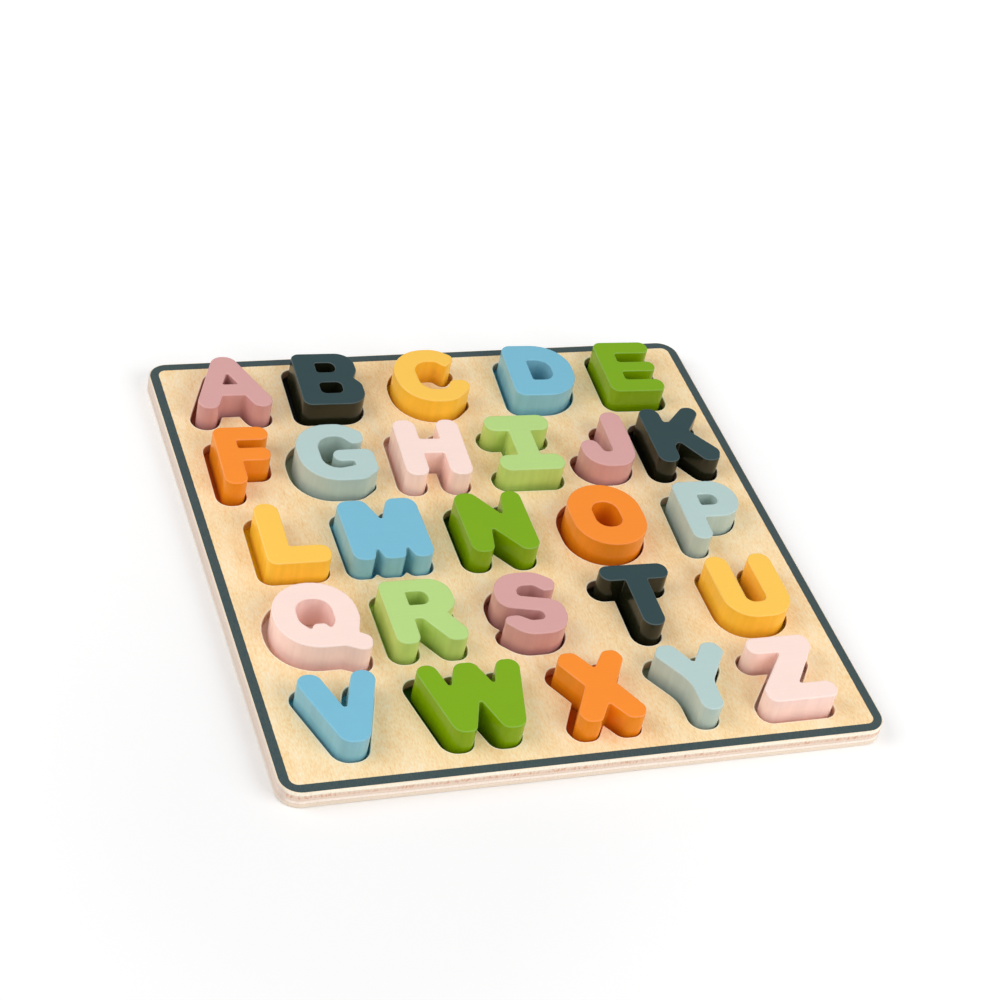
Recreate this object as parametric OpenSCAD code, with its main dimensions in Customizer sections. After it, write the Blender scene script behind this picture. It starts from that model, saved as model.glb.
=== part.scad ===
// Alphabet puzzle: a square plywood board with letter-shaped recesses, and the thick painted
// wooden letters that lift out of them. Millimetres, +Z up, origin at the centre of the underside.

/* [Board] */
// Length of each side of the square board
board_side = 300; // [296:1:320]
// Radius of the board's four corners
board_corner_r = 10.5; // [6:0.5:16]
// Thickness of the plywood top plate, which is the depth of the recesses
top_plate_t = 6; // [4:0.5:9]
// Thickness of the plywood base plate under it
base_plate_t = 3.5; // [3:0.5:6]

/* [Letters] */
// Thickness of the board that the letters are cut from
letter_t = 18; // [12:1:25]
// Gap all round between a letter in the middle of its recess and the recess's wall
recess_gap = 2; // [1.8:0.1:2.2]

/* [Hidden] */
// Largest turn between two points of a rounded corner, in degrees
ARC_STEP = 9;
// Radius left where the gap takes up the whole of an inner corner's rounding
LEAST_CORNER_R = 0.4;

// Paint and wood
PLY = [0.94, 0.84, 0.67];
DUSTY_PINK = [0.85, 0.64, 0.64];
SLATE = [0.24, 0.33, 0.36];
YELLOW = [1.00, 0.79, 0.36];
SKY_BLUE = [0.48, 0.74, 0.85];
GRASS = [0.48, 0.69, 0.15];
ORANGE = [0.99, 0.57, 0.23];
GREY_BLUE = [0.72, 0.81, 0.81];
PALE_PINK = [0.99, 0.89, 0.86];
LIGHT_GREEN = [0.72, 0.86, 0.53];

// Each outline is a list of corners [x, y, radius] about the middle of its letter.
A_LETTER = [
    [-5, 20.5, 7], [5, 20.5, 7], [22, -20.5, 5.5], [10, -20.5, 5.5], [6, -11, 1],
    [-6, -11, 1], [-10, -20.5, 5.5], [-22, -20.5, 5.5]
];
A_HOLES = [[[0, 7.5, 0.8], [4.2, -2, 0.8], [-4.2, -2, 0.8]]];

B_LETTER = [
    [-16.5, 20.5, 4.5], [16.5, 20.5, 9.5], [16.5, 6, 6], [13.5, 0, 1.5], [17, -5, 6],
    [17, -21, 10], [-17, -21, 4.5]
];
B_HOLES = [
    [[-5, 13, 1.5], [5.5, 13, 3.5], [5.5, 5, 3.5], [-5, 5, 1.5]],
    [[-6, -3, 2.5], [6, -3, 3], [6, -12, 3.5], [-6, -12, 3]]
];

C_LETTER = [
    [8.5, 21.5, 14], [18, 14, 3.5], [10.5, 6, 2], [6, 11.5, 5], [-7, 11.5, 8], [-7, -11.5, 8],
    [6.5, -11.5, 5], [10, -5, 2.5], [19, -4.5, 4], [19.5, -11.5, 5], [8.5, -21.5, 14],
    [-19, -21.5, 19], [-19, 21.5, 20]
];
C_RECESS = [
    [8.5, 21.5, 14], [18, 14, 3.5], [10.5, 6, 2], [6, 11.5, 5], [-7, 11.5, 8], [-7, -11.5, 8],
    [6.5, -11.5, 5], [10, -5, 2.5], [18, -4.5, 4], [18.5, -11.5, 5], [8, -21.5, 14],
    [-19, -21.5, 19], [-19, 21.5, 20]
];

D_LETTER = [[-17.5, 21, 5.5], [18.5, 21, 19], [18.5, -21, 19], [-18.5, -21, 5.5]];
D_HOLES = [[[-6, 8.5, 1.5], [6.5, 8.5, 7], [6.5, -8, 6.5], [-6, -8, 1.5]]];

E_LETTER = [
    [-15.5, 21, 5], [16, 21, 4.5], [16, 11.5, 4.5], [-5, 11.5, 1.5], [-5, 4, 1.5], [15, 4, 3.5],
    [15, -4, 3.5], [-5, -4, 1.5], [-5, -11, 1.5], [15.5, -11, 4.5], [15.5, -21, 4.5],
    [-15.5, -21, 5]
];
E_RECESS = [[-16, 21, 5], [16, 21, 4.5], [15.5, -21.5, 4.5], [-16, -21.5, 5]];

F_LETTER = [
    [-14.5, 21, 5], [13.5, 21, 5], [13.5, 11, 4.5], [-3.5, 11, 1], [-3.5, 5, 1], [12, 5, 4],
    [12, -4.5, 4.5], [-3, -4.5, 1], [-3, -21.5, 5], [-14.5, -21.5, 5]
];
F_RECESS = [
    [-14.5, 21.5, 5], [14.5, 21.5, 5], [12.5, -4.5, 4.5], [-3, -4.5, 1], [-3, -21.5, 5],
    [-14.5, -21.5, 5]
];

G_LETTER = [
    [8, 21.5, 14], [17, 14.5, 4], [17, 6, 4.5], [10, 6, 2.5], [5.5, 12, 6], [-8, 12, 9],
    [-8, -12, 8], [1, -12, 6], [8.5, -10.5, 1.5], [8.5, -7, 1.5], [-1.5, -7, 4], [-1.5, 1.5, 4],
    [19.5, 1.5, 4.5], [19.5, -14.5, 4], [11, -21.5, 9], [-19.5, -21.5, 19], [-19.5, 21.5, 19]
];
G_RECESS = [
    [8, 21.5, 14], [17, 14.5, 4], [19.5, 1.5, 4.5], [19.5, -14.5, 4], [11, -21.5, 9],
    [-20, -21.5, 19], [-20, 21.5, 19]
];

H_LETTER = [
    [-17.5, 21.5, 5.5], [-5.5, 21.5, 5.5], [-5.5, 6.5, 1], [5.5, 6.5, 1], [5.5, 21.5, 5.5],
    [17.5, 21.5, 5.5], [17.5, -21.5, 5.5], [5.5, -21.5, 5.5], [5.5, -4.5, 1], [-5.5, -4.5, 1],
    [-5.5, -21.5, 5.5], [-17.5, -21.5, 5.5]
];

I_LETTER = [
    [-17.5, 21.5, 5.5], [17.5, 21.5, 5.5], [17.5, 9.5, 5.5], [6, 9.5, 1], [6, -9.5, 1],
    [17.5, -9.5, 5.5], [17.5, -21.5, 5.5], [-17.5, -21.5, 5.5], [-17.5, -9.5, 5.5], [-6, -9.5, 1],
    [-6, 9.5, 1], [-17.5, 9.5, 5.5]
];

J_LETTER = [
    [3, 21, 5.5], [14.5, 21, 5.5], [14.5, 0, 20], [12.5, -21.5, 12], [-15, -21.5, 13],
    [-15, -0.5, 5.5], [-5.5, -0.5, 4], [-3, -10, 2], [2, -10, 2.5]
];
J_RECESS = [
    [2.5, 21.5, 6], [15, 21.5, 6], [15, 0, 20], [12.5, -20.5, 12], [-15, -20.5, 13],
    [-15, 0, 5.5], [2.5, 0, 2]
];

K_LETTER = [
    [-17.5, 21.5, 5.5], [-6, 21.5, 5.5], [-5.5, 10.5, 1], [-2.5, 10.5, 1.5], [8.5, 21.5, 5],
    [15.5, 21.5, 4.5], [16, 16, 3], [6.5, 2.5, 1.5], [18.5, -14, 4.5], [15.5, -21.5, 4.5],
    [8, -21.5, 4.5], [-2, -5.5, 2], [-5.5, -9, 3], [-6, -21.5, 5.5], [-17.5, -21.5, 5.5]
];
K_RECESS = [
    [-17.5, 21.5, 5.5], [-6, 21.5, 5.5], [-5.5, 7.5, 1], [8.5, 21.5, 5], [15.5, 21.5, 4.5],
    [16, 16, 3], [6.5, 2.5, 1.5], [18.5, -14, 4.5], [15.5, -21.5, 4.5], [8, -21.5, 4.5],
    [-2, -5.5, 2], [-5.5, -9, 3], [-6, -21.5, 5.5], [-17.5, -21.5, 5.5]
];

L_LETTER = [
    [-15.5, 21.5, 6], [-3, 21.5, 6], [-3.5, -9.5, 1], [16, -9.5, 5], [16, -21.5, 5.5],
    [-16, -21.5, 5]
];

M_LETTER = [
    [-20.5, 21, 6], [-6, 21, 5], [0, 5.5, 1], [6, 21, 5], [20.5, 21, 6],
    [20.5, -21.5, 5.5], [10.5, -21.5, 3.5], [7.5, -12.5, 0.8], [5, -21.5, 3.5], [-5, -21.5, 3.5],
    [-7.5, -12.5, 0.8], [-10.5, -21.5, 3.5], [-20.5, -21.5, 5.5]
];
M_RECESS = [
    [-20.5, 21.5, 5.5], [-6, 21.5, 5], [0, 6, 1], [6, 21.5, 5], [20.5, 21.5, 5.5],
    [20.5, -21.5, 5], [11, -21.5, 2], [7.5, -17.5, 2.4], [4, -21.5, 2], [-4, -21.5, 2],
    [-7.5, -17.5, 2.4], [-11, -21.5, 2], [-20.5, -21.5, 5]
];

N_LETTER = [
    [-18, 21.5, 6.5], [-7.5, 21.5, 5], [4.5, 4, 1], [8, 21.5, 5], [17.5, 21.5, 5], [17.5, -21.5, 6],
    [8.5, -21.5, 4.5], [-4, -4, 1], [-7, -21.5, 5], [-18, -21.5, 5.5]
];

O_LETTER = [[-19.5, 22.5, 19], [19.5, 22.5, 19], [19.5, -22.5, 19], [-19.5, -22.5, 19]];
O_HOLES = [[[-7, 9.5, 6.5], [7, 9.5, 6.5], [7, -9, 6.5], [-7, -9, 6.5]]];

P_LETTER = [
    [-16, 21.5, 5], [17, 21.5, 13], [17, -5.5, 13], [-5.5, -5.5, 1], [-5.5, -21.5, 5],
    [-16.5, -21.5, 5]
];
P_HOLES = [[[-4.5, 11.5, 1], [5.5, 11.5, 3.8], [5.5, 3.5, 3.8], [-4.5, 3.5, 1]]];

Q_LETTER = [
    [-20.5, 21.5, 20], [20.5, 21.5, 20], [20.5, -4, 10], [17.5, -13.5, 1], [23, -17, 4],
    [21, -25, 4], [16, -25, 5], [9, -21.5, 4], [-20.5, -21.5, 20]
];
Q_HOLES = [[
    [-9, 10.5, 8], [8.5, 10.5, 8], [8.5, -5, 8], [5, -9.5, 1], [3, -6, 2.5], [-2.5, -6, 2.5],
    [-4.5, -9.5, 1], [-9, -4, 8]
]];

R_LETTER = [
    [-17.5, 21, 4.5], [17.5, 21, 11], [17.5, 3, 7], [11.5, -2.5, 1.5], [18.5, -14.5, 4],
    [16.5, -21, 4], [8.5, -21, 5], [-1.5, -5, 2.5], [-5.5, -5, 1.5], [-6, -21, 5], [-17.5, -21, 5]
];
R_HOLES = [[[-5.5, 13, 1], [5, 13, 4.2], [5, 4, 4.2], [-5.5, 4, 0.8]]];

S_LETTER = [
    [8, 21, 13], [17, 14, 4], [15, 7.5, 3], [9.5, 7.5, 1.5], [5, 12, 4.5], [-4.5, 12, 4.5],
    [-4.5, 5.5, 2], [16, 0.5, 8], [16, -21, 13], [-8, -21, 13], [-16, -12.5, 3], [-16, -7.5, 3.5],
    [-8.5, -7.5, 4], [-3, -11.5, 4], [4.5, -11.5, 2.8], [4.5, -6, 2.8], [-16, -1, 8], [-16, 21, 14]
];
S_RECESS = [
    [8, 21, 13], [17, 14, 4], [16, 9, 3], [11, 4.5, 1], [16, 0, 8], [16, -21, 13], [-8, -21, 13],
    [-16, -12.5, 3], [-16, -9, 3], [-11, -4.5, 1], [-16, 0, 8], [-16, 21, 14]
];

T_LETTER = [
    [-18, 21, 5], [18, 21, 5], [18, 10.5, 5], [5.5, 10.5, 1], [5.5, -21.5, 5.5],
    [-6, -21.5, 5.5], [-6, 10.5, 1], [-18, 10.5, 5]
];

U_LETTER = [
    [-18, 22, 6], [-5.5, 22, 6], [-5.5, -11.5, 4.5], [5.5, -11.5, 4.5], [5.5, 22, 6],
    [18, 22, 6], [18, -22, 15], [-18, -22, 15]
];

V_LETTER = [
    [-20.5, 21.5, 5.5], [-8, 21.5, 5.5], [0, -2.5, 1.2], [8.5, 21.5, 5.5], [20.5, 21.5, 5.5],
    [6, -21.5, 7], [-6, -21.5, 7]
];

W_LETTER = [
    [-26.5, 21.5, 5], [-16, 21.5, 5], [-12, 5.5, 1], [-6, 21, 5], [3.5, 21, 5], [9.5, 5.5, 1],
    [14.5, 21, 5], [26, 21, 5], [16.5, -21.5, 6], [6, -21.5, 4.5], [-0.5, -2, 1],
    [-7.5, -21.5, 4.5], [-17, -21.5, 6]
];

X_LETTER = [
    [-6.5, 22, 4.5], [0.5, 11, 1.2], [8, 21.5, 4], [14.5, 21.5, 4], [17, 16, 4], [8, 0.5, 1.2],
    [17, -16, 4], [14.5, -22, 4.5], [7, -22, 4.5], [0, -11, 1.2], [-7, -22, 4.5],
    [-14.5, -22, 4.5], [-17, -16, 4], [-8, 0.5, 1.2], [-17, 16, 4], [-13.5, 22, 4.5]
];

Y_LETTER = [
    [-7.5, 21.5, 4.5], [0, 9, 1.2], [8, 21.5, 4.5], [14.5, 21.5, 4.5], [18, 15.5, 4],
    [6, -3, 8], [5.5, -21.5, 5], [-5.5, -21.5, 5], [-6, -3, 20], [-18.5, 15.5, 4],
    [-14.5, 21.5, 4.5]
];
Y_RECESS = [
    [-7.5, 21.5, 4.5], [0, 9, 1.2], [8, 21.5, 4.5], [14.5, 21.5, 4.5], [18, 15.5, 4],
    [6, -3, 8], [5.5, -20.5, 5], [-5.5, -20.5, 5], [-6, -3, 20], [-18.5, 15.5, 4],
    [-14.5, 21.5, 4.5]
];

Z_LETTER = [
    [-16.5, 21, 5], [17, 21, 5], [17, 12.5, 4], [0.5, -10.5, 1], [18.5, -10.5, 5], [18.5, -21, 5],
    [-18.5, -21, 5], [-18.5, -12, 4], [-0.5, 10.5, 1], [-16.5, 10.5, 5]
];

// Columns of the list of letters
NAME = 0;
PAINT = 1;
PLACE = 2;
TURN = 3;
LIE = 4;
ROOM = 5;
SHAPE = 6;
HOLES = 7;
RECESS = 8;

// Every letter: its name, its paint, where the middle of its recess is, how far both are turned,
// how far the letter lies from the middle of its recess, how much more room than the usual gap its
// recess has, its outline, the holes through it, and the outline that its recess follows.
LETTERS = [
    ["a", DUSTY_PINK, [-114.5, 118], -1, [1, 1], 0, A_LETTER, A_HOLES, A_LETTER],
    ["b", SLATE, [-62.5, 117.5], -2, [1.5, 0.5], 0.2, B_LETTER, B_HOLES, B_LETTER],
    ["c", YELLOW, [-5.5, 115.5], 0, [0, 1], 0, C_LETTER, [], C_RECESS],
    ["d", SKY_BLUE, [56, 115.5], -3, [1, 1], 0, D_LETTER, D_HOLES, D_LETTER],
    ["e", GRASS, [109, 116], -2.5, [-0.5, 0], 0.4, E_LETTER, [], E_RECESS],
    ["f", ORANGE, [-119, 61], -2, [1.5, 1], 0, F_LETTER, [], F_RECESS],
    ["g", GREY_BLUE, [-74, 59.5], -1, [1.5, 0.5], -0.2, G_LETTER, [], G_RECESS],
    ["h", PALE_PINK, [-22, 59], -3.5, [1, 0.5], 0, H_LETTER, [], H_LETTER],
    ["i", LIGHT_GREEN, [28.5, 58], -2, [0.5, 1], 0, I_LETTER, [], I_LETTER],
    ["j", DUSTY_PINK, [72, 57], -1, [1.5, 1], 0, J_LETTER, [], J_RECESS],
    ["k", SLATE, [115, 57], -1.5, [1.5, 1], 0.2, K_LETTER, [], K_RECESS],
    ["l", YELLOW, [-110.5, 3.5], -1, [1.5, 0], 0, L_LETTER, [], L_LETTER],
    ["m", SKY_BLUE, [-62.5, 2.5], -0.5, [0, -0.5], -0.4, M_LETTER, [], M_RECESS],
    ["n", GRASS, [-6, 1], -1, [1.5, 0.5], 0, N_LETTER, [], N_LETTER],
    ["o", ORANGE, [53, 0], 0, [1.5, 0.5], 0, O_LETTER, O_HOLES, O_LETTER],
    ["p", GREY_BLUE, [110.5, -1], -2, [1.5, 0], 0, P_LETTER, P_HOLES, P_LETTER],
    ["q", PALE_PINK, [-112.5, -54], 0, [1, 1], 0.4, Q_LETTER, Q_HOLES, Q_LETTER],
    ["r", LIGHT_GREEN, [-60.5, -56], -0.5, [0.5, 0], 0, R_LETTER, R_HOLES, R_LETTER],
    ["s", DUSTY_PINK, [-7, -57.5], 0, [1, 0.5], -0.2, S_LETTER, [], S_RECESS],
    ["t", SLATE, [51.5, -57.5], -1.5, [1.5, 0], 0.2, T_LETTER, [], T_LETTER],
    ["u", YELLOW, [109.5, -58.5], 0, [1, 1], -0.2, U_LETTER, [], U_LETTER],
    ["v", SKY_BLUE, [-113.5, -112], 0, [0.5, 0], -0.4, V_LETTER, [], V_LETTER],
    ["w", GRASS, [-51.5, -112.5], 0, [2, -0.5], 0.4, W_LETTER, [], W_LETTER],
    ["x", ORANGE, [9, -113.5], 0, [1.5, -0.5], 0, X_LETTER, [], X_LETTER],
    ["y", GREY_BLUE, [59.5, -115], -1.5, [1.5, 0.5], 0.2, Y_LETTER, [], Y_RECESS],
    ["z", PALE_PINK, [107.5, -115.5], 0, [0.5, 1], -0.2, Z_LETTER, [], Z_LETTER]
];

BOARD_SHAPE = [
    for (side = [[-1, 1], [1, 1], [1, -1], [-1, -1]])
        [side.x * board_side / 2, side.y * board_side / 2, board_corner_r]
];

function node_name(letter) = str("letter_", letter[NAME]);
function corner_at(shape, i) = shape[(i + len(shape)) % len(shape)];
function place_of(corner) = [corner.x, corner.y];
function unit(v) = v / norm(v);

// Points round one rounded corner, from the edge that comes in to the edge that goes out
function corner_points(before, corner, after) =
    let (
        back = unit(place_of(before) - place_of(corner)),
        ahead = unit(place_of(after) - place_of(corner)),
        half = acos(back * ahead) / 2,
        r = corner.z,
        centre = place_of(corner) + unit(back + ahead) * r / sin(half),
        first = place_of(corner) + back * r / tan(half) - centre,
        start = atan2(first.y, first.x),
        sweep = (180 - 2 * half) * sign(cross(ahead, back)),
        steps = ceil(abs(sweep) / ARC_STEP)
    )
    [for (k = [0 : steps]) centre + r * [cos(start + sweep * k / steps), sin(start + sweep * k / steps)]];

// All the points of a rounded outline
function rounded(shape) = [
    for (i = [0 : len(shape) - 1])
        each corner_points(corner_at(shape, i - 1), shape[i], corner_at(shape, i + 1))
];

// The same outline grown outwards, its corners listed clockwise as every outline here is
function grown(shape, gap) = [
    for (i = [0 : len(shape) - 1])
        let (
            into = unit(place_of(shape[i]) - place_of(corner_at(shape, i - 1))),
            out = unit(place_of(corner_at(shape, i + 1)) - place_of(shape[i])),
            moved = place_of(shape[i]) + gap * ([-into.y, into.x] + [-out.y, out.x]) / (1 + into * out),
            outer = cross(into, out) < 0,
            r = outer ? shape[i].z + gap : max(shape[i].z - gap, LEAST_CORNER_R)
        )
        [moved.x, moved.y, r]
];

module recess_outline(letter) {
    translate(letter[PLACE])
        rotate(letter[TURN])
            polygon(rounded(grown(letter[RECESS], recess_gap + letter[ROOM])));
}

module top_plate() {
    color(PLY)
        translate([0, 0, base_plate_t])
            linear_extrude(top_plate_t)
                difference() {
                    polygon(rounded(BOARD_SHAPE));
                    for (letter = LETTERS)
                        recess_outline(letter);
                }
}

module base_plate() {
    color(PLY)
        linear_extrude(base_plate_t)
            polygon(rounded(BOARD_SHAPE));
}

module letter_piece(letter) {
    place = letter[PLACE] + letter[LIE];
    color(letter[PAINT])
        translate([place.x, place.y, base_plate_t])
            rotate(letter[TURN])
                linear_extrude(letter_t)
                    difference() {
                        polygon(rounded(letter[SHAPE]));
                        for (hole = letter[HOLES])
                            polygon(rounded(hole));
                    }
}

top_plate();
base_plate();
for (letter = LETTERS)
    letter_piece(letter);
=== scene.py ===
# %% [markdown]
# # Alphabet puzzle
# A square plywood board holds twenty-six thick painted letters, each standing in a recess of its
# own shape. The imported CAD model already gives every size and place, so the work left for Blender
# is the softened edges, the wood, the paint and the light. Each step copies a CAD solid, works on
# the copy with bmesh operators, and lets the copy stand for the original.

import math

import bmesh
import bpy
from mathutils import Matrix, Vector


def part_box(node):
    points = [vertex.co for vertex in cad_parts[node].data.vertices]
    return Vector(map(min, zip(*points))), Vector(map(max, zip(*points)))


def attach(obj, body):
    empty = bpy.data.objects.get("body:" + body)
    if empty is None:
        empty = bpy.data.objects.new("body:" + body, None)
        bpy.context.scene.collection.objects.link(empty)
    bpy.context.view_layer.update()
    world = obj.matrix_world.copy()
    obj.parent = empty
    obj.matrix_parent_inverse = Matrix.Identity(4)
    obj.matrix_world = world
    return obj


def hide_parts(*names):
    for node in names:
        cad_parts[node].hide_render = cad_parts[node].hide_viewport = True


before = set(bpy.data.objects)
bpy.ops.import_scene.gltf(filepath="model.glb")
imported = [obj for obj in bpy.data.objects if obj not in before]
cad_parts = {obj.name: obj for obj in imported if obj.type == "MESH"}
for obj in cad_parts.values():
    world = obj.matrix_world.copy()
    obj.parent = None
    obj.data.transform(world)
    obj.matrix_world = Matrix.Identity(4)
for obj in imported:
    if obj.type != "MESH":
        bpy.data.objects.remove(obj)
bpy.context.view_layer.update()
MM = 0.001

# %% [markdown]
# ## Camera
# The photograph looks down on the board from the front left through a long lens, and it is rolled,
# so the board leans in the picture. A camera can be turned by three angles, but these are hard to
# read. Here it is put at a point, aimed at another point, and then rolled about its own axis.

# %% Camera
CAMERA_PLACE = Vector((-0.41575, -0.8109, 0.7900))
CAMERA_AIM = Vector((0.00825, 0.0290, 0.0095))
CAMERA_ROLL = math.radians(14.01)
CAMERA_LENS = 86.66


def add_object(name, data):
    """Puts an object with this data at the origin of the scene."""
    made = bpy.data.objects.new(name, data)
    bpy.context.scene.collection.objects.link(made)
    return made


camera = add_object("camera", bpy.data.cameras.new("camera"))
aimed = (CAMERA_AIM - CAMERA_PLACE).to_track_quat("-Z", "Y").to_matrix().to_4x4()
rolled = Matrix.Rotation(CAMERA_ROLL, 4, "Z")
camera.matrix_world = Matrix.Translation(CAMERA_PLACE) @ aimed @ rolled
camera.data.lens = CAMERA_LENS
camera.data.dof.use_dof = False
bpy.context.scene.camera = camera
bpy.context.scene.view_settings.view_transform = "Standard"
print("camera is", round((CAMERA_AIM - CAMERA_PLACE).length, 3), "m from the board")

# %% [markdown]
# ## Nodes in code
# Every finish below is a small graph of nodes. Wiring a graph by hand in code is long, so one helper
# adds a node, and takes for each of its inputs either a number or another node's output to link.
# Colours are written as the eye reads them on a screen, and turned into the linear light that
# Blender mixes.


# %% Helpers for node graphs
def add_node(tree, kind, inputs=None, **settings):
    """Adds a node, with its settings, and with a value or a link on each named input."""
    made = tree.nodes.new(kind)
    for name, value in settings.items():
        setattr(made, name, value)
    for key, value in (inputs or {}).items():
        if isinstance(value, bpy.types.NodeSocket):
            tree.links.new(value, made.inputs[key])
        else:
            made.inputs[key].default_value = value
    return made


def math_node(tree, operation, first, second):
    """The result of one operation, such as ADD, on two values."""
    return add_node(tree, "ShaderNodeMath", {0: first, 1: second}, operation=operation).outputs[0]


def linear(colour):
    """A colour with parts from 0 to 255, as a screen shows it, in linear light."""
    parts = [part / 255 for part in colour]
    light = [p / 12.92 if p <= 0.04045 else ((p + 0.055) / 1.055) ** 2.4 for p in parts]
    return (*light, 1.0)


print("mid grey in linear light:", round(linear((128, 128, 128))[0], 3))

# %% [markdown]
# ## Floor and light
# The object was photographed on a white sweep, between two large soft boxes that stand low to the
# left and to the front right, so the letters' sides are nearly as bright as their tops. One strong
# lamp overhead would be simpler, but it would leave the sides dark. The lamps stay at a plain level,
# and the floor adds a glow that only the camera and reflections see. It starts at nothing in front of
# the board, where the soft shadow falls, and grows with the distance, so that the sweep reads as
# white where the lamps no longer reach.

# %% Floor and light
FLOOR_HALF = 3.0
FLOOR_DROP = 0.2 * MM
FLOOR_COLOUR = (0.95, 0.95, 0.95, 1.0)
FAR_GLOW = 1.04
NEAR_REACH = 0.08
FAR_REACH = 2.4
GLOW_CENTRE = (-0.12, -0.17, 0)
WHITE = (1, 1, 1, 1)
WHITE_STRENGTH = 1.0
DOME_STRENGTH = 0.50
BOX_SIZE = 1.2
BOX_DISTANCE = 1.6
BOX_LIFT = math.radians(36)
BOX_TURNS_AND_POWERS = {"left_box": (-95, 11.8), "front_right_box": (40, 12.4)}


def seen_directly(tree):
    """1 for a ray from the camera, or one that a glossy or clear surface sends on."""
    rays = add_node(tree, "ShaderNodeLightPath").outputs
    either = math_node(tree, "MAXIMUM", rays["Is Camera Ray"], rays["Is Glossy Ray"])
    return math_node(tree, "MAXIMUM", either, rays["Is Transmission Ray"])


world = bpy.data.worlds.new("soft_dome")
world.use_nodes = True
bpy.context.scene.world = world
sky = world.node_tree
sky.nodes.clear()
dome = add_node(sky, "ShaderNodeBackground", {"Color": WHITE, "Strength": DOME_STRENGTH})
white = add_node(sky, "ShaderNodeBackground", {"Color": WHITE, "Strength": WHITE_STRENGTH})
either_sky = add_node(
    sky, "ShaderNodeMixShader", {0: seen_directly(sky), 1: dome.outputs[0], 2: white.outputs[0]}
)
add_node(sky, "ShaderNodeOutputWorld", {"Surface": either_sky.outputs[0]})

floor_finish = bpy.data.materials.new("white_floor")
floor_finish.use_nodes = True
tree = floor_finish.node_tree
tree.nodes.clear()
paper = add_node(tree, "ShaderNodeBsdfDiffuse", {"Color": FLOOR_COLOUR})
on_floor = add_node(tree, "ShaderNodeTexCoord").outputs["Object"]
away = add_node(tree, "ShaderNodeVectorMath", {0: on_floor, 1: GLOW_CENTRE}, operation="DISTANCE")
by_reach = add_node(
    tree,
    "ShaderNodeMapRange",
    {"Value": away.outputs["Value"], "From Min": NEAR_REACH, "From Max": FAR_REACH, "To Max": FAR_GLOW},
)
glow_strength = math_node(tree, "MULTIPLY", seen_directly(tree), by_reach.outputs["Result"])
glow = add_node(tree, "ShaderNodeEmission", {"Strength": glow_strength})
both = add_node(tree, "ShaderNodeAddShader", {0: paper.outputs[0], 1: glow.outputs[0]})
add_node(tree, "ShaderNodeOutputMaterial", {"Surface": both.outputs[0]})

bm = bmesh.new()
bmesh.ops.create_grid(bm, x_segments=1, y_segments=1, size=FLOOR_HALF)
bmesh.ops.translate(bm, verts=bm.verts, vec=(0, 0, -FLOOR_DROP))
floor_mesh = bpy.data.meshes.new("floor")
bm.to_mesh(floor_mesh)
bm.free()
floor_mesh.materials.append(floor_finish)
add_object("floor", floor_mesh)

for name, (degrees, power) in BOX_TURNS_AND_POWERS.items():
    turn = math.radians(degrees)
    level = Vector((math.sin(turn), -math.cos(turn), 0)) * math.cos(BOX_LIFT)
    place = BOX_DISTANCE * (level + Vector((0, 0, math.sin(BOX_LIFT))))
    box = add_object(name, bpy.data.lights.new(name, "AREA"))
    box.data.size = BOX_SIZE
    box.data.energy = power
    box.location = place
    box.rotation_euler = (-place).to_track_quat("-Z", "Y").to_euler()
    print(name, "stands at", [round(v, 2) for v in place], "m")

# %% [markdown]
# ## Patterns that every finish shares
# Paint and wood both get their detail from noise: a grid of random values that is smoothed. Given a
# low count of waves along one axis and a high count across it, noise turns into streaks, which is
# how grain, brush marks and saw marks are drawn. All of it is read at Object coordinates, in metres,
# so the pattern is fixed to the piece and has its real scale. Noise goes from 0 to 1, but nearly all
# of it lies in the middle of that range, so it is read from a narrower or wider middle part.

# %% Helpers for patterns
NARROW = (0.3, 0.7)
MIDDLE = (0.25, 0.75)
WIDE = (0.2, 0.8)
NOISE_ROUGHNESS = 0.55


def new_finish(name):
    """A material with a shader, and the Object coordinates that its patterns are read at."""
    material = bpy.data.materials.new(name)
    material.use_nodes = True
    tree = material.node_tree
    tree.nodes.clear()
    shader = add_node(tree, "ShaderNodeBsdfPrincipled")
    add_node(tree, "ShaderNodeOutputMaterial", {"Surface": shader.outputs[0]})
    place = add_node(tree, "ShaderNodeTexCoord").outputs["Object"]
    return material, tree, shader, place


def noise(tree, place, waves, detail=2.0):
    """Noise with so many waves per metre along x, y and z."""
    scaled = add_node(tree, "ShaderNodeMapping", {"Vector": place, "Scale": waves})
    made = add_node(
        tree,
        "ShaderNodeTexNoise",
        {"Vector": scaled.outputs[0], "Scale": 1.0, "Detail": detail, "Roughness": NOISE_ROUGHNESS},
    )
    return made.outputs["Fac"]


def remap(tree, value, from_low, from_high, to_low, to_high, smooth=False):
    """Moves a value from one range to another, and stops it at the ends."""
    made = add_node(
        tree,
        "ShaderNodeMapRange",
        {
            "Value": value,
            "From Min": from_low,
            "From Max": from_high,
            "To Min": to_low,
            "To Max": to_high,
        },
        interpolation_type="SMOOTHSTEP" if smooth else "LINEAR",
    )
    return made.outputs["Result"]


def between(tree, value, limits, part=NARROW):
    """Turns noise into a value between two limits, which it reaches at the ends of this part."""
    return remap(tree, value, *part, *limits)


def vary(tree, value, amount):
    """Turns noise into a factor round 1 that goes this far up and down."""
    return between(tree, value, (1 - amount, 1 + amount), MIDDLE)


def either_side(reach):
    """The limits of a value that goes this far to both sides of zero."""
    return -reach, reach


def mix_value(tree, factor, first, second):
    """A value between two, at this factor."""
    return add_node(tree, "ShaderNodeMix", {0: factor, 2: first, 3: second}).outputs[0]


def mix_colour(tree, factor, first, second):
    """A colour between two, at this factor."""
    made = add_node(tree, "ShaderNodeMix", {0: factor, 6: first, 7: second}, data_type="RGBA")
    return made.outputs[2]


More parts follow.
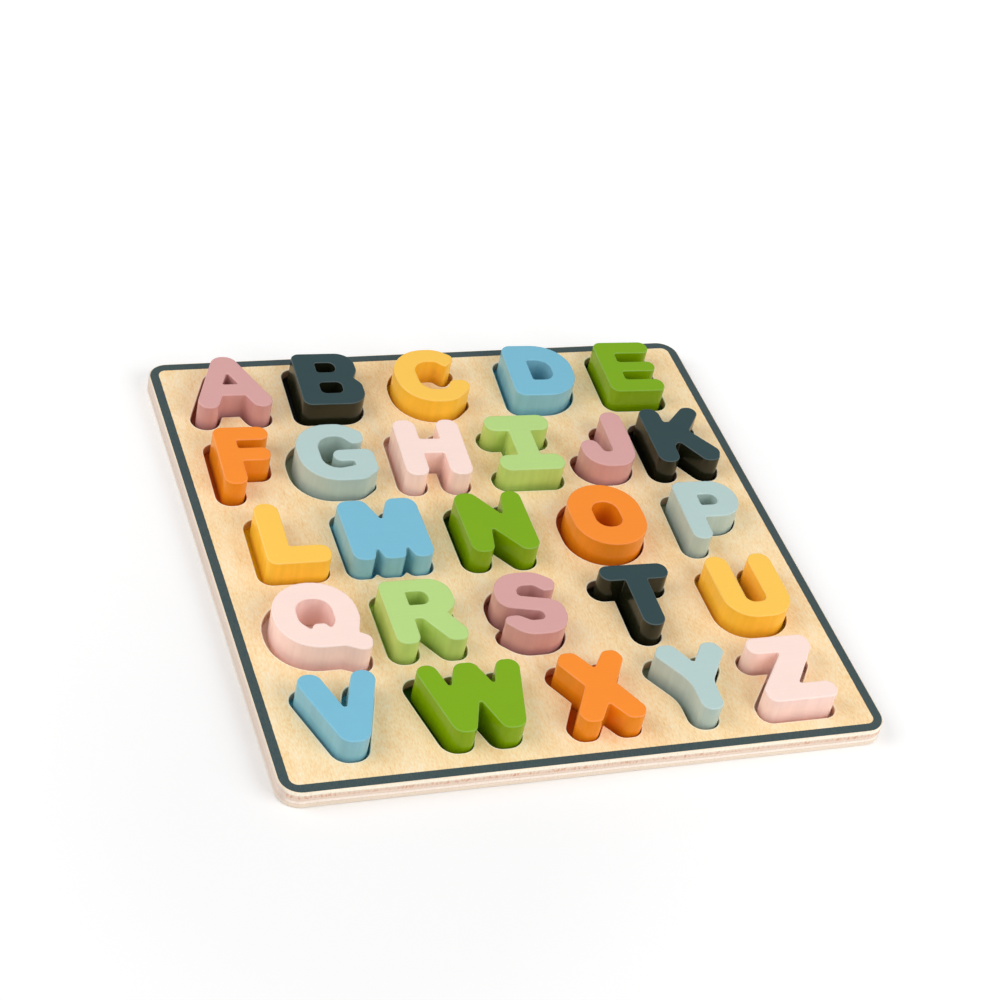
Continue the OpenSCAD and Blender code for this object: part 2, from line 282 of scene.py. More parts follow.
def scale_colour(tree, colour, factor):
    """A colour made lighter or darker by a factor."""
    made = add_node(tree, "ShaderNodeVectorMath", {0: colour, "Scale": factor}, operation="SCALE")
    return made.outputs[0]


def colour_ramp(tree, value, stops):
    """Colours that blend from stop to stop, each a value from 0 to 1 and a colour."""
    made = add_node(tree, "ShaderNodeValToRGB", {0: value})
    elements = made.color_ramp.elements
    for at, _ in stops[1:-1]:
        elements.new(at)
    for element, (at, colour) in zip(elements, stops):
        element.position = at
        element.color = linear(colour)
    return made.outputs["Color"]


def height_of(tree, place):
    """The height above the table, in metres."""
    return add_node(tree, "ShaderNodeSeparateXYZ", {"Vector": place}).outputs["Z"]


def relief(tree, shader, height, depth):
    """Bumps the surface by a height from 0 to 1 that stands for this depth."""
    bump = add_node(tree, "ShaderNodeBump", {"Height": height, "Strength": 1.0, "Distance": depth})
    tree.links.new(bump.outputs[0], shader.inputs["Normal"])


print("pattern helpers are ready")

# %% [markdown]
# ## Paint
# The letters are wood under a water-based paint. The roller leaves faint lines and a dull sheen on the
# flat faces. The sides are sprayed, and are glossier, so they mirror the wood of the board round them,
# and the cutter's upright streaks remain. On the softened rim the paint is thin, and a paler line is
# painted there as a highlight.
# One function makes all nine paints, and it tells a face from a side by its height, because every
# letter stands equally tall. Each paint is listed with the colour of its face, of its side and of
# the floor of its recess. The side colour is the paint with painted shade in it, mostly darker and
# warmer, and for slate it also holds a painted reflection of the board's wood. The floor colour
# holds the painted shade and light of the narrow gap round the letter: darker for the dark paints,
# brighter and stronger for the pale ones.

# %% Paint
LOW, HIGH = 0, 1
LETTER_RIM = 0.7 * MM
LETTER_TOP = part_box("letter_a")[HIGH].z
SIDE_STARTS = (0.4 * LETTER_RIM, 1.3 * LETTER_RIM)
RIM_CLIMB = (0.02 * LETTER_RIM, 0.25 * LETTER_RIM)
RIM_FALL = (0.45 * LETTER_RIM, 1.1 * LETTER_RIM)

# Face; side with painted shade and reflection; recess floor with painted shade and light.
PAINT_COLOURS = {
    "dusty_pink_paint": ((217, 165, 162), (207, 152, 148), (171, 94, 71)),
    "slate_paint": ((47, 69, 72), (27, 29, 16), (4, 4, 5)),
    "yellow_paint": ((255, 203, 88), (255, 195, 56), (255, 212, 26)),
    "sky_blue_paint": ((124, 190, 214), (131, 187, 204), (108, 210, 230)),
    "grass_green_paint": ((126, 172, 24), (127, 164, 0), (30, 68, 0)),
    "orange_paint": ((251, 144, 49), (238, 138, 22), (200, 98, 20)),
    "grey_blue_paint": ((184, 208, 205), (181, 201, 194), (158, 164, 135)),
    "pale_pink_paint": ((254, 227, 217), (255, 220, 211), (255, 225, 205)),
    "light_green_paint": ((184, 218, 133), (186, 214, 112), (218, 248, 118)),
}
ROLLER_LINES = (40, 900, 40)
CUTTER_STREAKS = (330, 330, 24)
PAINT_CLOUD = (60, 60, 60)
PAINT_SPECK = (2200, 2200, 2200)
LINE_SHADE = 0.012
STREAK_SHADE = 0.055
SIDE_CLOUD_SHADE = 0.03
CLOUD_SHADE = 0.015
SPECK_SHADE = 0.015
RIM_HIGHLIGHT_RANGE = (0.05, 0.16)
RIM_HIGHLIGHT_WHITE = 0.55
FACE_ROUGHNESS = (0.46, 0.58)
SIDE_ROUGHNESS = (0.14, 0.26)
FACE_GLOSS = 0.12
SIDE_GLOSS = {slot: 0.35 for slot in PAINT_COLOURS}
SIDE_GLOSS["slate_paint"] = 0.42
FACE_RIPPLE = 0.03 * MM
SIDE_RIPPLE = 0.01 * MM


def paint_finish(name, face_colour, side_paint_and_shade):
    """Satin paint on wood: lines on faces, streaks on sides, thin paint and a painted highlight on the
    rim.
    """
    material, tree, shader, place = new_finish(name)
    below_top = math_node(tree, "SUBTRACT", LETTER_TOP, height_of(tree, place))
    side = remap(tree, below_top, *SIDE_STARTS, 0, 1, smooth=True)
    lines = noise(tree, place, ROLLER_LINES, detail=3.0)
    streaks = noise(tree, place, CUTTER_STREAKS, detail=3.0)
    cloud = noise(tree, place, PAINT_CLOUD, detail=3.0)
    speck = noise(tree, place, PAINT_SPECK, detail=1.0)
    side_shade = vary(tree, streaks, STREAK_SHADE)
    side_shade = math_node(tree, "MULTIPLY", side_shade, vary(tree, cloud, SIDE_CLOUD_SHADE))
    shade = mix_value(tree, side, vary(tree, lines, LINE_SHADE), side_shade)
    shade = math_node(tree, "MULTIPLY", shade, vary(tree, cloud, CLOUD_SHADE))
    shade = math_node(tree, "MULTIPLY", shade, vary(tree, speck, SPECK_SHADE))
    # The side colour carries painted shade, and for slate a painted reflection of the wood.
    coat = mix_colour(tree, side, linear(face_colour), linear(side_paint_and_shade))
    coat = scale_colour(tree, coat, shade)
    # A paler band along the rim: a painted highlight, where the paint is also thin.
    climb = remap(tree, below_top, *RIM_CLIMB, 0, 1, smooth=True)
    fall = remap(tree, below_top, *RIM_FALL, 1, 0, smooth=True)
    rim_highlight = math_node(tree, "MULTIPLY", climb, fall)
    rim_highlight = math_node(tree, "MULTIPLY", rim_highlight, between(tree, cloud, RIM_HIGHLIGHT_RANGE))
    face_light = linear(face_colour)[:3]
    pale = [(1 - RIM_HIGHLIGHT_WHITE) * part + RIM_HIGHLIGHT_WHITE for part in face_light]
    tree.links.new(mix_colour(tree, rim_highlight, coat, (*pale, 1.0)), shader.inputs["Base Color"])
    satin = between(tree, cloud, FACE_ROUGHNESS)
    gloss = between(tree, streaks, SIDE_ROUGHNESS)
    tree.links.new(mix_value(tree, side, satin, gloss), shader.inputs["Roughness"])
    shine = remap(tree, side, 0, 1, FACE_GLOSS, SIDE_GLOSS[name])
    tree.links.new(shine, shader.inputs["Specular IOR Level"])
    streaks = math_node(tree, "MULTIPLY", streaks, SIDE_RIPPLE / FACE_RIPPLE)
    relief(tree, shader, mix_value(tree, side, lines, streaks), FACE_RIPPLE)
    return material


paints = {slot: paint_finish(slot, face, side) for slot, (face, side, _) in PAINT_COLOURS.items()}
print("made", len(paints), "paints")

# %% [markdown]
# ## Copies of the CAD solids
# A CAD node comes as loose triangles with knife-sharp edges. The copy's triangles are first joined,
# and the slanted edge across each upright wall is dissolved, which leaves whole quads. The bevel
# operator would be the usual way to soften an edge, but on a face that is still cut into triangles
# its width wanders. Insetting the whole face as one region keeps an even width, so a rim is rounded
# by sinking the face and then insetting it in small steps that climb a quarter circle. Inset leaves
# open edges alone, so a rim that must stay as it is gets opened first and closed again afterwards.

# %% Helpers for copies
UP, DOWN = 1, -1
LEVEL = 0.01 * MM
SAME_PLACE = 0.1 * LEVEL
UPRIGHT = 0.5
FLAT = 0.999
SUPPORT = 0.15 * MM
SUPPORT_RINGS = 3
SHRUNK = 0.25 * MM


def merged_copy(node):
    """A bmesh of a CAD node with its triangles joined and its walls made of quads."""
    bm = bmesh.new()
    bm.from_mesh(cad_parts[node].data)
    bmesh.ops.remove_doubles(bm, verts=bm.verts, dist=SAME_PLACE)
    slanted = []
    for edge in bm.edges:
        span = edge.verts[1].co - edge.verts[0].co
        on_wall = all(abs(face.normal.z) < UPRIGHT for face in edge.link_faces)
        if on_wall and abs(span.z) > LEVEL and span.xy.length > LEVEL:
            slanted.append(edge)
    bmesh.ops.dissolve_edges(bm, edges=slanted, use_verts=False)
    return bm


def is_flat(face, up):
    """True for a face that points straight up, or straight down if up is DOWN."""
    return face.normal.z * up > FLAT


def flat_faces(bm, up):
    """The faces that point straight up, or straight down."""
    return [face for face in bm.faces if is_flat(face, up)]


def loop_at(bm, height):
    """Cuts a level loop round every wall, to hold the shading of the rim near it."""
    everything = bm.verts[:] + bm.edges[:] + bm.faces[:]
    bmesh.ops.bisect_plane(bm, geom=everything, plane_co=(0, 0, height), plane_no=(0, 0, 1))


def inset(bm, faces, thickness, depth):
    """Insets a region of faces from the walls that it meets, and lifts it."""
    bmesh.ops.inset_region(
        bm, faces=faces, thickness=thickness, depth=depth, use_boundary=False, use_even_offset=True
    )


def merge_outline(bm, faces):
    """Merges the corners of a region's outline that have come close together."""
    inside = set(faces)
    outline = {vert for face in faces for vert in face.verts}
    outline = [vert for vert in outline if any(face not in inside for face in vert.link_faces)]
    bmesh.ops.remove_doubles(bm, verts=outline, dist=SHRUNK)
    return [face for face in faces if face.is_valid]


def round_rim(bm, up, radius, steps=4, wanted=None):
    """Rounds the rim of the top or bottom faces where wanted is true of its edges, and gives the
    faces that stay flat inside it."""
    height = flat_faces(bm, up)[0].verts[0].co.z
    loop_at(bm, height - up * (radius + SUPPORT))
    if wanted:
        rim = [edge for edge in bm.edges if sum(is_flat(face, up) for face in edge.link_faces) == 1]
        others = [edge for edge in rim if not wanted((edge.verts[0].co + edge.verts[1].co) / 2)]
        bmesh.ops.split_edges(bm, edges=others)
    faces = flat_faces(bm, up)
    corners = list({vert for face in faces for vert in face.verts})
    bmesh.ops.translate(bm, verts=corners, vec=(0, 0, -up * radius))
    turns = [math.radians(90 * step / steps) for step in range(steps + 1)]
    for before, after in zip(turns, turns[1:]):
        outwards = radius * (math.cos(before) - math.cos(after))
        upwards = radius * (math.sin(after) - math.sin(before))
        inset(bm, faces, outwards, upwards)
    for _ in range(SUPPORT_RINGS):
        faces = merge_outline(bm, faces)
        inset(bm, faces, SUPPORT, 0)
    bmesh.ops.remove_doubles(bm, verts=bm.verts, dist=SAME_PLACE)
    return [face for face in faces if face.is_valid]


def add_piece(name, bm, finishes, node, body):
    """Makes a bmesh a smooth-shaded piece that stands for a CAD node and moves with a body."""
    for face in bm.faces:
        face.smooth = True
    mesh = bpy.data.meshes.new(name)
    bm.to_mesh(mesh)
    bm.free()
    for finish in finishes:
        mesh.materials.append(finish)
    piece = add_object(name, mesh)
    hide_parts(node)
    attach(piece, body)
    return piece


print("copy helpers are ready")

# %% [markdown]
# ## Letters
# Each letter is cut from thick board, and its edges are softened top and bottom so that a child's
# hand can hold it. All twenty-six are made by the same loop. Every letter is its own piece on its
# own body, because each one lifts out by itself.

# %% Letters
LETTERS_OF_PAINT = {
    "dusty_pink_paint": "ajs",
    "slate_paint": "bkt",
    "yellow_paint": "clu",
    "sky_blue_paint": "dmv",
    "grass_green_paint": "enw",
    "orange_paint": "fox",
    "grey_blue_paint": "gpy",
    "pale_pink_paint": "hqz",
    "light_green_paint": "ir",
}

for slot, names in LETTERS_OF_PAINT.items():
    for name in names:
        node = "letter_" + name
        bm = merged_copy(node)
        for up in (UP, DOWN):
            round_rim(bm, up, LETTER_RIM)
        piece = add_piece("painted_" + node, bm, [paints[slot]], node, node)
        print(piece.name, len(piece.data.polygons), "faces")

# %% [markdown]
# ## Face veneer with a painted stripe
# The board's face is birch veneer. Its fine streaks run from front to back and sway a little, and
# pale and tan patches lie between them. A dark stripe is painted just inside the edge and turns
# round the corners. The stripe could be cut out as faces of its own, but then it would have no
# grain, so it is drawn in the material: a point is in the stripe if it is outside one rounded square
# and inside a larger one. Where the cutter went through, the rims are painted pale: partly sanded
# wood, partly a painted highlight along the eased edge. They carry a value of their own on their
# corners, which the material reads.

# %% Face veneer
board_low, board_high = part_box("top_plate")
BOARD_HALF = board_high.x
BOARD_TOP = board_high.z
BOARD_CORNER = 10.5 * MM
TALL = 1.0
STRIPE_OUTER = 0.58 * MM
STRIPE_INNER = 5.3 * MM
STRIPE_INNER_CORNER = 4.15 * MM
STRIPE_BLUR = 0.12 * MM
STRIPE_RAGGED = 0.08 * MM
STRIPE_COVER = (1.0, 0.95)

BIRCH_STOPS = ((0.0, (255, 242, 214)), (0.45, (255, 227, 180)), (1.0, (246, 200, 134)))
BIRCH_FLECK = (205, 160, 112)
STRIPE_COLOUR = (48, 72, 78)
SANDED_AND_HIGHLIGHT_VENEER = (255, 243, 214)

BIRCH_SWAY = (11, 7, 7)
SWAY_REACH = 6 * MM
BIRCH_STREAKS = (1300, 400, 400)
BIRCH_MOTTLE = (150, 60, 60)
BIRCH_CLOUD = (38, 20, 20)
BIRCH_FLECKS = (800, 130, 130)
BIRCH_SPECK = (2400, 2400, 2400)
STREAK_WEIGHT = 0.54
MOTTLE_WEIGHT = 0.30
CLOUD_WEIGHT = 0.16
FLECKS_START = (0.64, 0.80)
FLECK_STRENGTH = 0.22
BIRCH_SPECK_SHADE = 0.04
SANDED_AND_HIGHLIGHT_PART = (0.2, 0.9)
SANDED_AND_HIGHLIGHT_STRENGTH = 0.9
VENEER_ROUGHNESS = (0.52, 0.66)
GRAIN_RELIEF = 0.05 * MM
WOOD_GLOSS = 0.15


def birch_colour(tree, place):
    """Birch with its grain along y, and the streaks that its surface relief follows."""
    sway = noise(tree, place, BIRCH_SWAY)
    shift = between(tree, sway, either_side(SWAY_REACH), WIDE)
    offset = add_node(tree, "ShaderNodeCombineXYZ", {"X": shift}).outputs[0]
    wavy = add_node(tree, "ShaderNodeVectorMath", {0: place, 1: offset}, operation="ADD").outputs[0]
    streaks = noise(tree, wavy, BIRCH_STREAKS, detail=3.0)
    mottle = noise(tree, wavy, BIRCH_MOTTLE, detail=3.0)
    cloud = noise(tree, wavy, BIRCH_CLOUD)
    fleck = noise(tree, wavy, BIRCH_FLECKS, detail=1.0)
    speck = noise(tree, place, BIRCH_SPECK, detail=1.0)
    figure = math_node(tree, "MULTIPLY", streaks, STREAK_WEIGHT)
    for part, weight in ((mottle, MOTTLE_WEIGHT), (cloud, CLOUD_WEIGHT)):
        figure = math_node(tree, "ADD", figure, math_node(tree, "MULTIPLY", part, weight))
    wood = colour_ramp(tree, between(tree, figure, (0, 1)), BIRCH_STOPS)
    marks = remap(tree, fleck, *FLECKS_START, 0, FLECK_STRENGTH, smooth=True)
    wood = mix_colour(tree, marks, wood, linear(BIRCH_FLECK))
    return scale_colour(tree, wood, vary(tree, speck, BIRCH_SPECK_SHADE)), streaks


def past_outline(tree, place, half, radius):
    """How far a point is outside a square with round corners, at any height up to TALL, and less
    than zero inside it."""
    folded = add_node(tree, "ShaderNodeVectorMath", {0: place}, operation="ABSOLUTE").outputs[0]
    centre = half - radius
    past = add_node(
        tree, "ShaderNodeVectorMath", {0: folded, 1: (centre, centre, TALL)}, operation="SUBTRACT"
    ).outputs[0]
    past = add_node(
        tree, "ShaderNodeVectorMath", {0: past, 1: (0, 0, 0)}, operation="MAXIMUM"
    ).outputs[0]
    reach = add_node(tree, "ShaderNodeVectorMath", {0: past}, operation="LENGTH").outputs["Value"]
    return math_node(tree, "SUBTRACT", reach, radius)


def add_stripe(tree, place, wood, grain):
    """Paints the stripe over the wood, with edges that the grain makes a little ragged."""
    ragged = between(tree, grain, either_side(STRIPE_RAGGED), MIDDLE)
    inner = past_outline(tree, place, BOARD_HALF - STRIPE_INNER, STRIPE_INNER_CORNER)
    inner = math_node(tree, "ADD", inner, ragged)
    outer = past_outline(tree, place, BOARD_HALF - STRIPE_OUTER, BOARD_CORNER - STRIPE_OUTER)
    outer = math_node(tree, "ADD", outer, ragged)
    enter = remap(tree, inner, *either_side(STRIPE_BLUR), 0, 1, smooth=True)
    leave = remap(tree, outer, *either_side(STRIPE_BLUR), 1, 0, smooth=True)
    stripe = math_node(tree, "MULTIPLY", enter, leave)
    stripe = math_node(tree, "MULTIPLY", stripe, between(tree, grain, STRIPE_COVER, WIDE))
    return mix_colour(tree, stripe, wood, linear(STRIPE_COLOUR))


def veneer_finish(name, is_face):
    """Birch veneer; on the face, the painted stripe and rims paled by sanding and a painted highlight.
    """
    material, tree, shader, place = new_finish(name)
    wood, grain = birch_colour(tree, place)
    if is_face:
        wood = add_stripe(tree, place, wood, grain)
        # The pale recess rims: partly sanded wood, partly a painted highlight.
        sanded_and_highlight = add_node(tree, "ShaderNodeAttribute", attribute_name="sanded_and_highlight_rim").outputs["Fac"]
        sanded_and_highlight = remap(tree, sanded_and_highlight, *SANDED_AND_HIGHLIGHT_PART, 0, SANDED_AND_HIGHLIGHT_STRENGTH, smooth=True)
        wood = mix_colour(tree, sanded_and_highlight, wood, linear(SANDED_AND_HIGHLIGHT_VENEER))
    tree.links.new(wood, shader.inputs["Base Color"])
    tree.links.new(between(tree, grain, VENEER_ROUGHNESS), shader.inputs["Roughness"])
    shader.inputs["Specular IOR Level"].default_value = WOOD_GLOSS
    relief(tree, shader, grain, GRAIN_RELIEF)
    return material


face_veneer = veneer_finish("birch_face", is_face=True)
back_veneer = veneer_finish("birch_underside", is_face=False)
print("board is", round(2 * BOARD_HALF / MM), "mm wide, its face is at", round(BOARD_TOP / MM, 2), "mm")

# %% [markdown]
# ## Plywood edges
# The board's edge shows the layers of its two plates: cream outer veneers, a whiter band where the
# plates are glued, thin tan glue lines, and a pinkish core with short upright marks where the grain
# is cut across. The layers lie at fixed heights, so a colour ramp over the height draws them, and
# noise draws the marks. At the left and right the layers are cut along their grain and hardly show,
# so a second ramp takes over there, darker than the front one; part of that darkness is painted
# shade. Inside the recesses the walls are drawn browner, and the paint that the recess floor is
# sprayed with climbs a little way up the wall, in the floor's colour with its painted shading.

# %% Plywood edges
CREAM_PLY = (241, 225, 206)
GLUE_LINE = (226, 203, 181)
GLUED_BAND = (254, 240, 229)
PINK_CORE = (237, 215, 198)
CUT_CORE = (232, 205, 184)
FACE_PLY = (254, 245, 226)
FACE_RIM = (251, 233, 206)
FRONT_LAYERS = (
    (0.0, CREAM_PLY),
    (1.1, CREAM_PLY),
    (1.25, GLUE_LINE),
    (1.4, CREAM_PLY),
    (2.3, CREAM_PLY),
    (2.45, GLUE_LINE),
    (2.65, CREAM_PLY),
    (3.1, GLUED_BAND),
    (3.9, GLUED_BAND),
    (4.4, CREAM_PLY),
    (4.65, GLUE_LINE),
    (4.9, PINK_CORE),
    (5.6, PINK_CORE),
    (6.0, CUT_CORE),
    (6.7, CUT_CORE),
    (7.2, PINK_CORE),
    (7.45, CREAM_PLY),
    (7.6, GLUE_LINE),
    (7.9, FACE_PLY),
    (9.1, FACE_PLY),
    (9.5, FACE_RIM),
)
# Darker than the front: the ply cut along its grain, with painted shade in it.
SIDE_FOOT = (226, 213, 199)
SIDE_JOINT = (212, 194, 179)
SIDE_PLY = (218, 202, 190)
SIDE_FACE = (236, 220, 196)
SIDE_LAYERS_WITH_SHADE = (
    (0.0, SIDE_FOOT),
    (3.2, SIDE_JOINT),
    (5.0, SIDE_PLY),
    (8.3, SIDE_PLY),
    (9.5, SIDE_FACE),
)
SIDE_BLEND = 4.0 * MM
LAYER_SWAY = (35, 35, 35)
LAYER_REACH = 0.2 * MM
CROSS_GRAIN = (212, 148, 110)
CORE_MIDDLE = 6.6 * MM
CORE_ENDS = (0.6 * MM, 1.2 * MM)
MARKS_OFF_CORE = 0.12
MARKS_ON_SIDE = 0.3
MARK_PATCHES = (70, 70, 20)
PATCH_PART = (0.4, 0.6)
PATCH_STRENGTH = (0.45, 1)
CUT_GRAIN = (800, 800, 380)
MARKS_START = (0.46, 0.66)
MARK_STRENGTH = 0.85
PORES = (1100, 1100, 500)
PORE_SHADE = 0.045
STRATA = (28, 28, 1700)
STRATA_SHADE = 0.06
EDGE_ROUGHNESS = (0.62, 0.78)
EDGE_RELIEF = 0.06 * MM

RECESS_BROWN = (208, 160, 112)
RECESS_BROWN_STRENGTH = (0.60, 0.92)
RECESS_FLOOR = board_low.z
SPRAY_ENDS = (RECESS_FLOOR + 0.4 * MM, RECESS_FLOOR + 2.4 * MM)
SPRAY_COVER = (0.92, 0.12)
SPRAY_DRIPS = (240, 240, 90)
DRIP_REACH = 0.7 * MM


def ply_finish(name, in_recess):
    """Cut plywood: its layers by height, and marks of cut grain in its core."""
    material, tree, shader, place = new_finish(name)
    height = height_of(tree, place)
    sway = noise(tree, place, LAYER_SWAY)
    level = math_node(tree, "ADD", height, between(tree, sway, either_side(LAYER_REACH)))
    up = remap(tree, level, 0, BOARD_TOP, 0, 1)
    front, sides = (
        colour_ramp(tree, up, [(at * MM / BOARD_TOP, colour) for at, colour in layers])
        for layers in (FRONT_LAYERS, SIDE_LAYERS_WITH_SHADE)
    )
    folded = add_node(tree, "ShaderNodeVectorMath", {0: place}, operation="ABSOLUTE").outputs[0]
    axes = add_node(tree, "ShaderNodeSeparateXYZ", {"Vector": folded}).outputs
    sideways = math_node(tree, "SUBTRACT", axes["X"], axes["Y"])
    on_side = remap(tree, sideways, *either_side(SIDE_BLEND), 0, 1, smooth=True)
    wood = mix_colour(tree, on_side, front, sides)
    cut_grain = noise(tree, place, CUT_GRAIN)
    off_middle = math_node(tree, "SUBTRACT", level, CORE_MIDDLE)
    off_middle = add_node(tree, "ShaderNodeMath", {0: off_middle}, operation="ABSOLUTE").outputs[0]
    core = remap(tree, off_middle, *CORE_ENDS, 1, MARKS_OFF_CORE, smooth=True)
    core = math_node(tree, "MULTIPLY", core, remap(tree, on_side, 0, 1, 1, MARKS_ON_SIDE))
    patches = between(tree, noise(tree, place, MARK_PATCHES), PATCH_STRENGTH, PATCH_PART)
    core = math_node(tree, "MULTIPLY", core, patches)
    marks = remap(tree, cut_grain, *MARKS_START, 0, MARK_STRENGTH, smooth=True)
    marks = math_node(tree, "MULTIPLY", marks, core)
    wood = mix_colour(tree, marks, wood, linear(CROSS_GRAIN))
    pores = noise(tree, place, PORES)
    wood = scale_colour(tree, wood, vary(tree, pores, PORE_SHADE))
    strata = noise(tree, place, STRATA)
    wood = scale_colour(tree, wood, vary(tree, strata, STRATA_SHADE))
    # Recess walls are drawn browner than the board's outer edge.
    if in_recess:
        wood = mix_colour(tree, between(tree, pores, RECESS_BROWN_STRENGTH), wood, linear(RECESS_BROWN))
        cell_paint_and_shading = add_node(tree, "ShaderNodeAttribute", attribute_name="recess_paint_and_shading").outputs["Color"]
        drips = noise(tree, place, SPRAY_DRIPS, detail=3.0)
        reach = math_node(tree, "ADD", height, between(tree, drips, either_side(DRIP_REACH)))
        spray = remap(tree, reach, *SPRAY_ENDS, *SPRAY_COVER, smooth=True)
        wood = mix_colour(tree, spray, wood, cell_paint_and_shading)
    tree.links.new(wood, shader.inputs["Base Color"])
    tree.links.new(between(tree, pores, EDGE_ROUGHNESS), shader.inputs["Roughness"])
    shader.inputs["Specular IOR Level"].default_value = WOOD_GLOSS
    relief(tree, shader, cut_grain, EDGE_RELIEF)
    return material


board_edge = ply_finish("ply_edge", in_recess=False)
recess_wall = ply_finish("recess_wall", in_recess=True)
print("plywood drawn with", len(FRONT_LAYERS), "and", len(SIDE_LAYERS_WITH_SHADE), "layer heights")

# %% [markdown]
# ## Cells of the recesses
# Each recess is sprayed in its letter's colour, as a hint for the child, and its floor colour also
# holds the painted shade and light of the narrow gap round the letter. To know which paint belongs
# to a point, the board is divided into one cell per letter: five rows, each with its own columns.
# The lines between the cells run midway between the letters, under wood that hides them. Measuring
# the letters gives these lines, so they stay right if a letter moves.

# %% Cells of the recesses
X, Y = 0, 1
ROWS = ("abcde", "fghijk", "lmnop", "qrstu", "vwxyz")
PAINT_OF_LETTER = {name: slot for slot, names in LETTERS_OF_PAINT.items() for name in names}


def gap_middle(first, second, axis):
    """The middle of the gap between two groups of letters, the first being the lower along an axis."""
    top_of_first = max(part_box("letter_" + name)[HIGH][axis] for name in first)
    foot_of_second = min(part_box("letter_" + name)[LOW][axis] for name in second)
    return (top_of_first + foot_of_second) / 2


row_cuts = [gap_middle(front, back, Y) for back, front in zip(ROWS, ROWS[1:])]
column_cuts = [[gap_middle(a, b, X) for a, b in zip(row, row[1:])] for row in ROWS]


def letter_at(point):
    """The letter whose cell a point is in."""
    row = sum(point.y < cut for cut in row_cuts)
    return ROWS[row][sum(point.x > cut for cut in column_cuts[row])]


def paint_cell(bm, faces):
    """Gives each face's corners the floor colour of its cell's recess, painted shading included."""
    layer = bm.loops.layers.float_color.new("recess_paint_and_shading")
    for face in faces:
        slot = PAINT_OF_LETTER[letter_at(face.calc_center_median())]
        # The floor colour carries the painted shade and light of the gap round the letter.
        _, _, floor_colour_and_shading = PAINT_COLOURS[slot]
        for corner in face.loops:
            corner[layer] = linear(floor_colour_and_shading)


print("row lines in mm:", [round(cut / MM, 1) for cut in row_cuts])

# %% [markdown]
# ## Top plate
# This is the plate with the twenty-six openings. Its outer edge is rounded well over, the rims of the
# openings are only just eased, and a fine groove shows where the two plates meet. Each kind of rim
# is rounded by a call of its own. Then the faces are sorted by where they point and how far they
# are from the board's outline.

# %% Top plate
FACE, EDGE, RECESS = 0, 1, 2
SANDED_AND_HIGHLIGHTED, UNHIGHLIGHTED = 1.0, 0.0
BOARD_RIM = 0.65 * MM
RECESS_RIM = 0.42 * MM
JOINT_EASE = 0.15 * MM
OUTER_BAND = 2.0 * MM


def is_outer(point):
    """True for a point close to the board's own outline."""
    centre = BOARD_HALF - BOARD_CORNER
    past = Vector((max(abs(point.x) - centre, 0), max(abs(point.y) - centre, 0)))
    return past.length > BOARD_CORNER - OUTER_BAND


def is_inner(point):
    """True for a point on one of the openings."""
    return not is_outer(point)


bm = merged_copy("top_plate")
round_rim(bm, UP, BOARD_RIM, wanted=is_outer)
unhighlighted_faces = round_rim(bm, UP, RECESS_RIM, steps=3, wanted=is_inner)
round_rim(bm, DOWN, JOINT_EASE, steps=2, wanted=is_outer)
for face in bm.faces:
    middle = face.calc_center_median()
    if is_flat(face, UP):
        face.material_index = FACE
    elif is_outer(middle):
        face.material_index = EDGE
    else:
        face.material_index = FACE if middle.z > BOARD_TOP - RECESS_RIM else RECESS
# Recess rims get the pale mark, sanded wood with a painted highlight; the flat inside gets none.
rim_layer = bm.verts.layers.float.new("sanded_and_highlight_rim")
for vert in bm.verts:
    vert[rim_layer] = SANDED_AND_HIGHLIGHTED
for face in unhighlighted_faces:
    for vert in face.verts:
        vert[rim_layer] = UNHIGHLIGHTED
paint_cell(bm, [face for face in bm.faces if face.material_index == RECESS])
finishes = [face_veneer, board_edge, recess_wall]
top_plate = add_piece("board_top_plate", bm, finishes, "top_plate", "board")
print(top_plate.name, len(top_plate.data.polygons), "faces")

# %% [markdown]
# ## Base plate
# The base plate closes the recesses from below. Its face is cut along the lines between the cells,
# under the top plate where the cuts don't show, and each cell carries its paint, with the painted
# shade and light of its recess, as a colour on its corners. One material then serves all the
# cells. The underside is bare birch.

# %% Base plate
BASE_EDGE, CELL, UNDERSIDE = 0, 1, 2
BOTTOM_RIM = 0.5 * MM
FLOOR_CLOUD = (90, 90, 90)
FLOOR_CLOUD_SHADE = 0.06
BRUSH_LINES = (1200, 60, 60)
BRUSH_SHADE = 0.05
BRUSH_RELIEF = 0.05 * MM
FLOOR_ROUGHNESS = (0.55, 0.68)


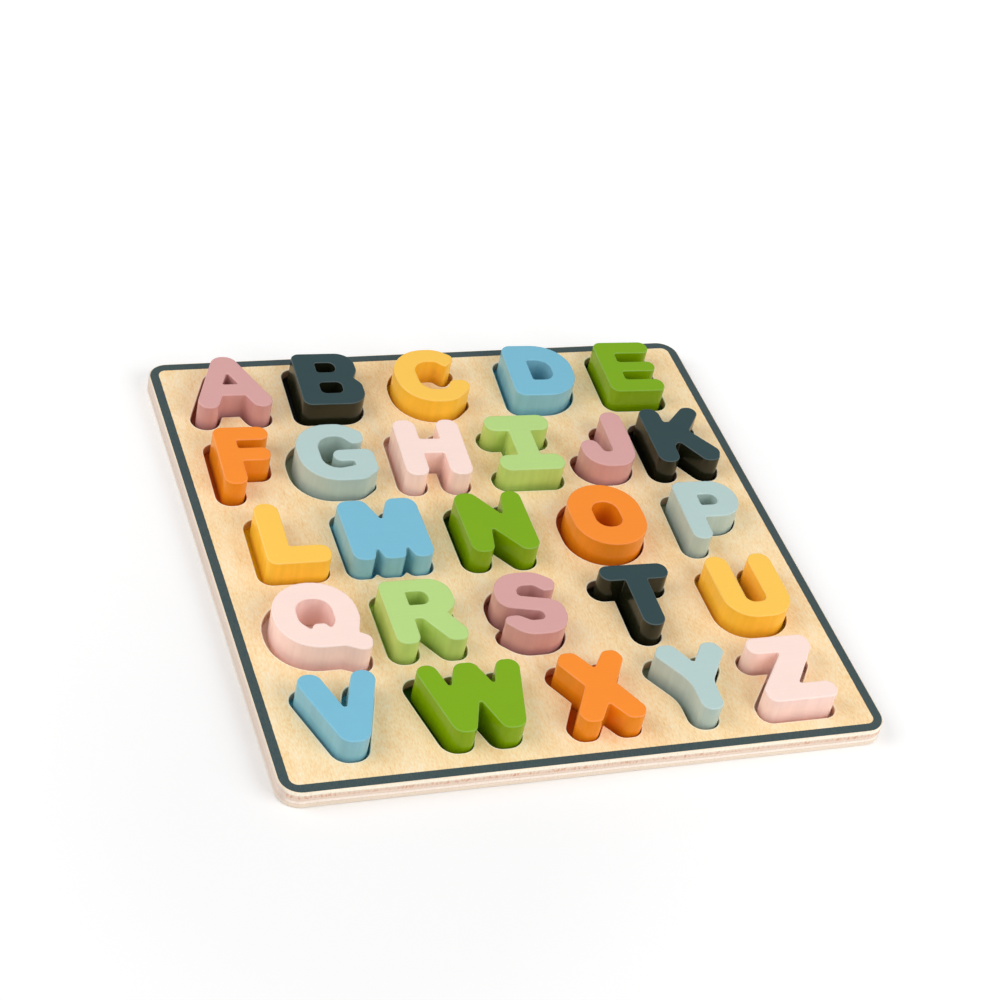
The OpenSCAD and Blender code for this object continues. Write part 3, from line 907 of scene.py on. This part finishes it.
def floor_paint_and_shading_finish(name):
    """Matt paint on the recess floors, in the colour that each cell carries, painted shading included.
    """
    material, tree, shader, place = new_finish(name)
    cell_paint_and_shading = add_node(tree, "ShaderNodeAttribute", attribute_name="recess_paint_and_shading").outputs["Color"]
    cloud = noise(tree, place, FLOOR_CLOUD, detail=3.0)
    lines = noise(tree, place, BRUSH_LINES)
    shade = vary(tree, cloud, FLOOR_CLOUD_SHADE)
    shade = math_node(tree, "MULTIPLY", shade, vary(tree, lines, BRUSH_SHADE))
    tree.links.new(scale_colour(tree, cell_paint_and_shading, shade), shader.inputs["Base Color"])
    tree.links.new(between(tree, cloud, FLOOR_ROUGHNESS), shader.inputs["Roughness"])
    shader.inputs["Specular IOR Level"].default_value = WOOD_GLOSS
    relief(tree, shader, lines, BRUSH_RELIEF)
    return material


def with_corners(faces):
    """These faces together with their corners and edges, which a cut needs too."""
    return list({part for face in faces for part in (*face.verts, *face.edges)}) + faces


bm = merged_copy("base_plate")
round_rim(bm, DOWN, BOTTOM_RIM, steps=3)
round_rim(bm, UP, JOINT_EASE, steps=2)
for cut in row_cuts:
    parts = with_corners(flat_faces(bm, UP))
    bmesh.ops.bisect_plane(bm, geom=parts, plane_co=(0, cut, 0), plane_no=(0, 1, 0))
for row, cuts in zip(ROWS, column_cuts):
    for cut in cuts:
        faces = flat_faces(bm, UP)
        strip = [face for face in faces if letter_at(face.calc_center_median()) in row]
        parts = with_corners(strip)
        bmesh.ops.bisect_plane(bm, geom=parts, plane_co=(cut, 0, 0), plane_no=(1, 0, 0))
cells = flat_faces(bm, UP)
for face in bm.faces:
    face.material_index = BASE_EDGE
for face in cells:
    face.material_index = CELL
for face in flat_faces(bm, DOWN):
    face.material_index = UNDERSIDE
paint_cell(bm, cells)
floor_paint_and_shading_material = floor_paint_and_shading_finish("recess_floor_paint_and_shading")
finishes = [board_edge, floor_paint_and_shading_material, back_veneer]
base_plate = add_piece("board_base_plate", bm, finishes, "base_plate", "board")
print(base_plate.name, len(base_plate.data.polygons), "faces")
